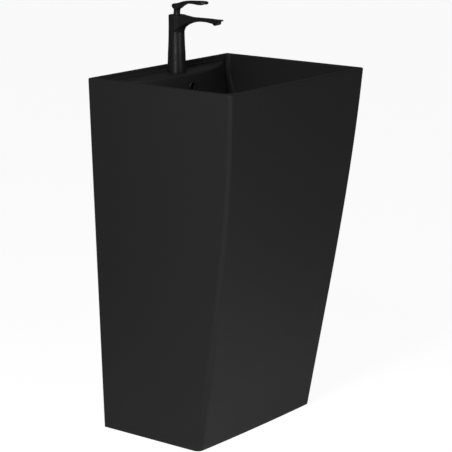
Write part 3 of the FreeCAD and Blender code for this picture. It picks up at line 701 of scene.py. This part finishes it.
def mixer():
    """Tapered column that flows into a flat blade of a spout; local -y is forwards."""
    pitch = 0.7
    low, high = (-25, -140, -3), (25, 25, 139)
    xs, ys, zs = grid_axes(low, high, pitch)
    x, y, z = xs[:, None, None], ys[None, :, None], zs[None, None, :]
    # the column, turned from its outline
    outline = softened([(-40, 0), (22.3, 0, 0.6), (21.1, 27), (20.6, 45), (19.6, 62), (18.8, 86), (18.5, 112),
                        (18.5, TAP_TOP, 2.4), (-40, TAP_TOP)])
    around = np.sqrt(x ** 2 + y ** 2)
    column = profile_distance(outline, around, z)
    # the spout: arched underneath, flat above, both crowned across, inside a tapering plan
    ahead = np.maximum(-y, 0)
    half = flowing([(0, 14.8), (8, 15.2), (14, 15.1), (20, 14.7), (32, 13.3), (44, 12), (60, 11), (80, 10.6),
                    (100, 10.6), (118, 11)])
    nose_arc = [(126 + 11 * math.sin(a), 11 * math.cos(a)) for a in np.linspace(0.1, math.pi / 2, 9)]
    right = half + nose_arc
    plan_2d = outline_distance(right + [(s, -w) for s, w in right[::-1]], -ys[None, :], xs[:, None])
    width = np.interp(ahead, [p[0] for p in half], [p[1] for p in half])
    across = np.clip(np.abs(x) / width, 0, 1) ** 2
    arch = flowing([(-5, 101), (9, 100.6), (16, 100), (18.7, 101), (20.5, 103.2), (23, 105.6), (26, 108),
                    (30, 110.8), (34.5, 113.4), (43, 117.2), (51, 119.9), (58, 121.9), (67, 123.4),
                    (76, 124.3), (90, 124.3), (100, 123.6), (109, 122.4), (118, 122.2), (126, 125.2),
                    (131, 128.4), (150, 132)])
    below = profile_distance(arch + [(150, 170), (-5, 170)], around, z - 1.8 * across)
    crown = flowing([(-5, 135.3), (14, 135.2), (20, 134.9), (26, 134.4), (32, 133.8), (38, 133.1),
                     (50, 132.5), (76, 132.7), (100, 132.7), (113, 132.2), (124, 132.2), (150, 132.2)])
    above = profile_distance(crown + [(150, 60), (-5, 60)], ahead + 0 * x, z + 1.3 * across)
    spout = soft_meet(np.maximum(below, above), plan_2d[:, :, None], 1.6)
    # the aerator's socket
    tilt = math.radians(AERATOR_TILT)
    forward, up = -y - AERATOR_REACH, z - AERATOR_RISE
    along = up * math.cos(tilt) + forward * -math.sin(tilt)
    off = forward * math.cos(tilt) + up * math.sin(tilt)
    socket = soft_meet(np.sqrt(x ** 2 + off ** 2) - 9.4, np.abs(along - 3.6) - 3.6, 1.2)
    field = soft_union(soft_union(column, spout, 7.0), socket, 3.0) - GROWTH
    field = soft_meet(field, z - TAP_TOP + 0 * x + 0 * y, 0.8)
    body = skin("tap_body", field, low, pitch, AT_TAP)
    shank = prism("cutter", disc_outline(16), -8, 0.4, AT_TAP)
    join(body, [shank])
    bore = [(0, 94.9), (13.4, 94.9), (13.4, 113.3), (15.6, 113.3), (15.6, 141), (0, 141)]
    aerator_seat = [(0, -2), (8.3, -2), (8.3, 6.4), (0, 6.4)]
    cut(body, [lathe("cutter", bore, AT_TAP), lathe("cutter", aerator_seat, AT_AERATOR, 64)])
    return tidy(body, 40)


def join(piece, others):
    """Adds the others' faces to the piece's mesh."""
    shell = bmesh.new()
    for source in [piece] + others:
        shell.from_mesh(source.data)
    shell.to_mesh(piece.data)
    shell.free()
    for other in others:
        bpy.data.objects.remove(other)


def lever():
    """Slim neck that bends forwards into a thin paddle."""
    pitch = 0.5
    low, high = (-14, -97, 131.5), (14, 14, 175)
    xs, ys, zs = grid_axes(low, high, pitch)
    x, y, z = xs[:, None, None], ys[None, :, None], zs[None, None, :]
    neck_half = flowing([(131, 7.9), (136, 7.7), (141, 7.5), (146, 7.6), (151, 8.1), (155, 8.8),
                         (160, 9.6), (166, 10)])
    radius = np.interp(zs, [p[0] for p in neck_half], [p[1] for p in neck_half])[None, None, :]
    lean = np.interp(zs, [131, 138, 145, 151, 160], [0.4, 1.0, 1.7, 1.8, 1.2])[None, None, :]
    neck = soft_meet(np.sqrt(x ** 2 + (y + lean) ** 2) - radius, z - 160 + 0 * x, 3.0)
    ahead = -y + 0 * x
    half = flowing([(-2, 8.4), (8, 8.4), (20, 7.8), (34, 7.6), (48, 8.6), (60, 10.4), (72, 11.6), (82, 11)])
    tip_plan = flowing([(88, 8.4), (92, 5.2), (94, 0)], 4)
    heel = flowing([(-11.6, 0), (-10.2, 4.8), (-6.8, 7.6)], 4)
    right = heel + half + tip_plan
    plan_2d = outline_distance(right + [(s, -w) for s, w in right[::-1]], -ys[None, :], xs[:, None])
    width = np.interp(ahead, [p[0] for p in half], [p[1] for p in half])
    across = np.clip(np.abs(x) / width, 0, 1) ** 2
    top = flowing([(-30, 156), (-12, 157.6), (-7.5, 159.4), (0, 161.5), (8, 163.6), (14, 165.5),
                   (21, 167.6), (31, 169.6), (43, 170.8), (58, 171.5), (71, 172), (83, 171.9), (94, 170.4),
                   (120, 168)])
    under = flowing([(-30, 158), (-12, 155.4), (-6, 152.6), (4, 151), (11, 152), (15, 154.6), (20, 158),
                     (26, 161), (33, 163.6), (43, 165), (58, 165.4), (72, 164.5), (83, 164.6), (90, 166.6),
                     (94, 169), (120, 176)])
    drop = 0.9 * across
    flat = profile_distance(top + [(120, 100), (-30, 100)], ahead, z + drop)
    hollow = profile_distance(under + [(120, 200), (-30, 200)], ahead, z + drop)
    paddle = np.maximum(flat, hollow)
    paddle = soft_meet(paddle, plan_2d[:, :, None], 2.2)
    field = soft_union(neck, paddle, 4.0) - GROWTH
    dome_clearance = 13.35                   # the neck's hollow foot rides over the dome round the pivot
    away = np.sqrt(x ** 2 + y ** 2 + (z - PIVOT) ** 2)
    field = np.maximum(field, dome_clearance - away)
    handle = skin("lever", field, low, pitch, AT_TAP)
    grub_hole, grub_rise = 1.6, 144.3
    to_back = AT_TAP @ Matrix.Rotation(math.radians(90), 4, "X") @ Matrix.Scale(-1, 4, (0, 0, 1))
    cut(handle, [prism("cutter", disc_outline(grub_hole, 24, (0, grub_rise)), 1, 12, to_back)])
    return tidy(handle, 50)


# ------------------------------------------------------------------ pieces

def place_piece(piece, body, slot, *replaced):
    paint(piece, slot)
    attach(piece, body)
    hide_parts(*replaced)


for name, node in nodes.items():
    paint(node, SLOT_OF[name])

place_piece(ceramic(), "basin", "black_glaze", "basin_body")
place_piece(mixer(), "basin", "black_metal", "mixer_body")
place_piece(lever(), "lever", "black_metal", "lever_handle")

ring = softened([(7.4, 7), (7.4, -2.4, 1.0), (11.6, -2.4, 2.0), (11.6, 0.3, 0.3), (9.1, 0.3), (9.1, 7)], 6)
AT_OVERFLOW = (Matrix.Translation((0, BACK - SHELF_REACH - 2.5, DECK - OVERFLOW_FALL))
               @ Matrix.Rotation(math.radians(-90), 4, "X"))
place_piece(lathe("overflow_trim", ring, AT_OVERFLOW, 96), "basin", "black_metal", "overflow_ring")

cap = softened([(12.2, 131.5), (12.2, TAP_TOP, 0.5), (15.4, TAP_TOP, 0.4), (15.4, 121.8), (13.8, 121.8),
                (13.8, 131.5)], 4)
place_piece(lathe("tap_cap", cap, AT_TAP, 96), "basin", "black_metal", "trim_cap")

button = softened([(0, 9.1), (6.3, 9.1), (6.3, 4.5), (14.5, 4.5, 0.3), (14.5, 5.5), (13.2, 5.5), (13.2, 8.5),
                   (14.5, 8.5), (14.5, 11.2, 0.5), (31, 11.2, 0.5), (31, 12.8, 1.0), (24, 14.8, 12),
                   (0, 15)], 6)
place_piece(lathe("waste_button", button, AT_WASTE, 96), "plug", "black_metal", "plug_cap")

# ------------------------------------------------------------------ floor, light and camera


def area_light(name, place, aim, size, power, size_y=None):
    data = bpy.data.lights.new(name, "AREA")
    data.energy, data.size = power, size
    if size_y:
        data.shape, data.size_y = "RECTANGLE", size_y
    light = bpy.data.objects.new(name, data)
    light.location = place
    light.rotation_euler = (Vector(aim) - Vector(place)).to_track_quat("-Z", "Y").to_euler()
    bpy.context.scene.collection.objects.link(light)
    return light


def studio():
    """Two tall soft lights, from the left and the front. The camera sees a near-white floor and a white
    world; every other ray meets a dim pool of light painted on the floor as glow, and an almost dark world."""
    reach, level = 30000, -0.2
    corners = [(x * reach, y * reach, level) for x, y in ((-1, -1), (1, -1), (1, 1), (-1, 1))]
    floor = new_piece("floor", corners, [(0, 1, 2, 3)])
    material, tree, place = new_material("pale floor")
    seen = add_node(tree, "ShaderNodeLightPath", output="Is Camera Ray")
    # painted light: for every ray but the camera's, the floor glows in a round pool near the basin, brightest
    # at its middle
    round_spot = place.node("ShaderNodeMapping", None, 0, Vector=place, Location=(0.35, 0.35, 0),
                            Scale=(0.75, 0.75, 0.75))
    near = round_spot.node("ShaderNodeTexGradient", {"gradient_type": "SPHERICAL"}, "Fac", Vector=round_spot)
    pool = shades(near, (0.03, 0.03, 0.03), (0.32, 0.32, 0.32))
    glow = seen.node("ShaderNodeMix", {"data_type": "RGBA"}, 2, _0=seen, _6=pool, _7=(0.93, 0.93, 0.93, 1))
    close_material(tree, Base_Color=shades(seen, (0.9, 0.9, 0.9), (0.3, 0.3, 0.3)), Roughness=0.9,
                   Specular_IOR_Level=0.0, Emission_Color=glow, Emission_Strength=1.0)
    floor.data.materials.append(material)
    world = bpy.data.worlds.new("studio")
    bpy.context.scene.world = world
    world.use_nodes = True
    tree = world.node_tree
    tree.nodes.clear()
    seen = add_node(tree, "ShaderNodeLightPath", output="Is Camera Ray")
    room = shades(seen, (0.06, 0.06, 0.06), (1, 1, 1))
    light = add_node(tree, "ShaderNodeBackground", None, 0, Color=room)
    out = tree.nodes.new("ShaderNodeOutputWorld")
    tree.links.new(light.socket, out.inputs["Surface"])
    middle = (0, 0.05, 0.7)
    area_light("left softbox", (-1.4, -0.4, 1.5), middle, 0.4, 14.5, 1.6)
    area_light("front softbox", (-0.15, -1.7, 1.0), middle, 0.4, 6, 1.5)


def look():
    """A long lens, well back, aimed at the middle of the basin."""
    azimuth, elevation, distance = math.radians(-52.41), math.radians(13.36), 4.3713
    aim = Vector((-0.0013, 0.0082, 0.4828))
    data = bpy.data.cameras.new("camera")
    data.lens, data.sensor_width = 146.92, 36.0
    camera = bpy.data.objects.new("camera", data)
    away = Vector((math.sin(azimuth) * math.cos(elevation), -math.cos(azimuth) * math.cos(elevation),
                   math.sin(elevation)))
    camera.location = aim + away * distance
    camera.rotation_euler = (-away).to_track_quat("-Z", "Y").to_euler()
    bpy.context.scene.collection.objects.link(camera)
    bpy.context.scene.camera = camera


studio()
look()
bpy.context.scene.view_settings.view_transform = "Standard"
